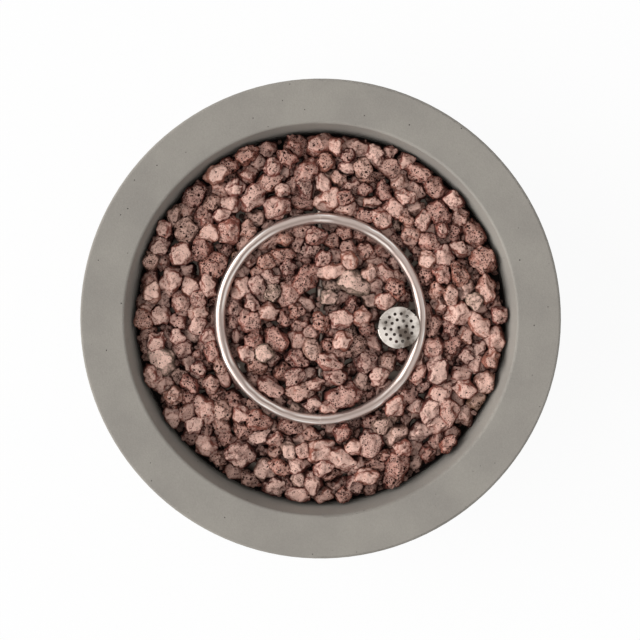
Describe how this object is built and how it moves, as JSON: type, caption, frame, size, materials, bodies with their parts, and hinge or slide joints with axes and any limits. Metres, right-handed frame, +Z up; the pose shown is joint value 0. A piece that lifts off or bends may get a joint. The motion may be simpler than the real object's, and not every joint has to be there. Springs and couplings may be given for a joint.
{
  "type": "propane fire bowl",
  "caption": "Round concrete gas fire bowl with a wide flat rim, a stainless ring burner, a perforated igniter hood and a bed of lava rocks, with gas valve and igniter on its side.",
  "frame": {"origin": "on the floor under the middle of the bowl", "axes": "+Z up, control panel towards -Y, gas inlet towards +Y, igniter hood on the +X side"},
  "size_m": [0.914, 0.9138, 0.381],
  "materials": {
    "concrete": "cast fibre-reinforced concrete, sealed, fine pinholes",
    "foot_rubber": "matte moulded",
    "zinc_steel": "bright zinc plated",
    "black_steel": "black oxide",
    "stainless": "stamped stainless, smooth",
    "pan_steel": "rolled stainless sheet",
    "burner_stainless": "polished stainless tube",
    "cast_aluminium": "as cast",
    "brass": "machined",
    "gas_tube": "drawn tube",
    "spring_steel": "drawn wire",
    "panel_black": "satin powder coat",
    "bezel_chrome": "plated",
    "knob_black": "moulded",
    "pointer_white": "moulded",
    "igniter_black": "moulded",
    "button_red": "moulded",
    "battery_can": "plain sleeve",
    "lead_silicone": "silicone insulation",
    "copper_lead": "copper capillary",
    "alumina": "sintered",
    "lava_rock": "vesicular volcanic rock, matte"
  },
  "bodies": {
    "fire_bowl": {"air_mixer": "cast_aluminium", "bonnet_screws": "zinc_steel", "burner_cross_tube": "burner_stainless", "burner_gas_line": "gas_tube", "burner_hub": "burner_stainless", "burner_pan": "pan_steel", "burner_ring_left": "burner_stainless", "burner_ring_right": "burner_stainless", "burner_risers": "burner_stainless", "concrete_bowl": "concrete", "control_panel": "panel_black", "electrode_insulator": "alumina", "electrode_rod": "stainless", "flare_nuts": "brass", "foot_pads": "foot_rubber", "foot_screws": "zinc_steel", "gas_inlet_fitting": "brass", "gas_orifice": "brass", "hood_screws": "stainless", "hub_locknut": "zinc_steel", "igniter_barrel": "igniter_black", "igniter_base": "stainless", "igniter_battery": "battery_can", "igniter_hood": "stainless", "igniter_lead": "lead_silicone", "igniter_nut": "igniter_black", "igniter_spring": "spring_steel", "igniter_terminals": "zinc_steel", "inlet_locknut": "brass", "knob_bezel": "bezel_chrome", "lava_rocks_inner_front": "lava_rock", "lava_rocks_inner_rear": "lava_rock", "lava_rocks_outer_1": "lava_rock", "lava_rocks_outer_2": "lava_rock", "lava_rocks_outer_3": "lava_rock", "lava_rocks_outer_4": "lava_rock", "lava_rocks_outer_5": "lava_rock", "lava_rocks_outer_6": "lava_rock", "orifice_elbow": "brass", "pan_screws": "zinc_steel", "panel_screws": "black_steel", "ring_posts": "stainless", "supply_line": "gas_tube", "thermocouple_lead": "copper_lead", "thermocouple_nut": "brass", "thermocouple_probe": "stainless", "valve_body": "cast_aluminium", "valve_bonnet": "cast_aluminium", "valve_panel_nut": "zinc_steel"},
    "gas_plug": {"valve_plug": "brass", "stem_spring": "spring_steel"},
    "knob": {"control_knob": "knob_black", "knob_pointer": "pointer_white", "valve_stem": "zinc_steel"},
    "igniter_plunger": {"igniter_button": "button_red"},
    "shutter": {"air_shutter": "stainless", "shutter_lock_screw": "zinc_steel"}
  },
  "joints": [
    {"name": "knob_turn", "type": "hinge", "parent": "fire_bowl", "child": "gas_plug", "pos_m": [-0.032, -0.42414, 0.21812], "axis": [0, -0.9657, -0.2597], "range_deg": [0, 180]},
    {"name": "knob_push", "type": "slide", "parent": "gas_plug", "child": "knob", "axis": [0, 0.9657, 0.2597], "range_m": [0, 0.004], "stiffness_N_per_m": 900, "springref_m": -0.004},
    {"name": "igniter_push", "type": "slide", "parent": "fire_bowl", "child": "igniter_plunger", "axis": [0, 0.9657, 0.2597], "range_m": [0, 0.004], "stiffness_N_per_m": 600, "springref_m": -0.003},
    {"name": "air_shutter_turn", "type": "hinge", "parent": "fire_bowl", "child": "shutter", "pos_m": [0, 0, 0.22], "axis": [0, 0, 1], "range_deg": [0, 70]}
  ]
}
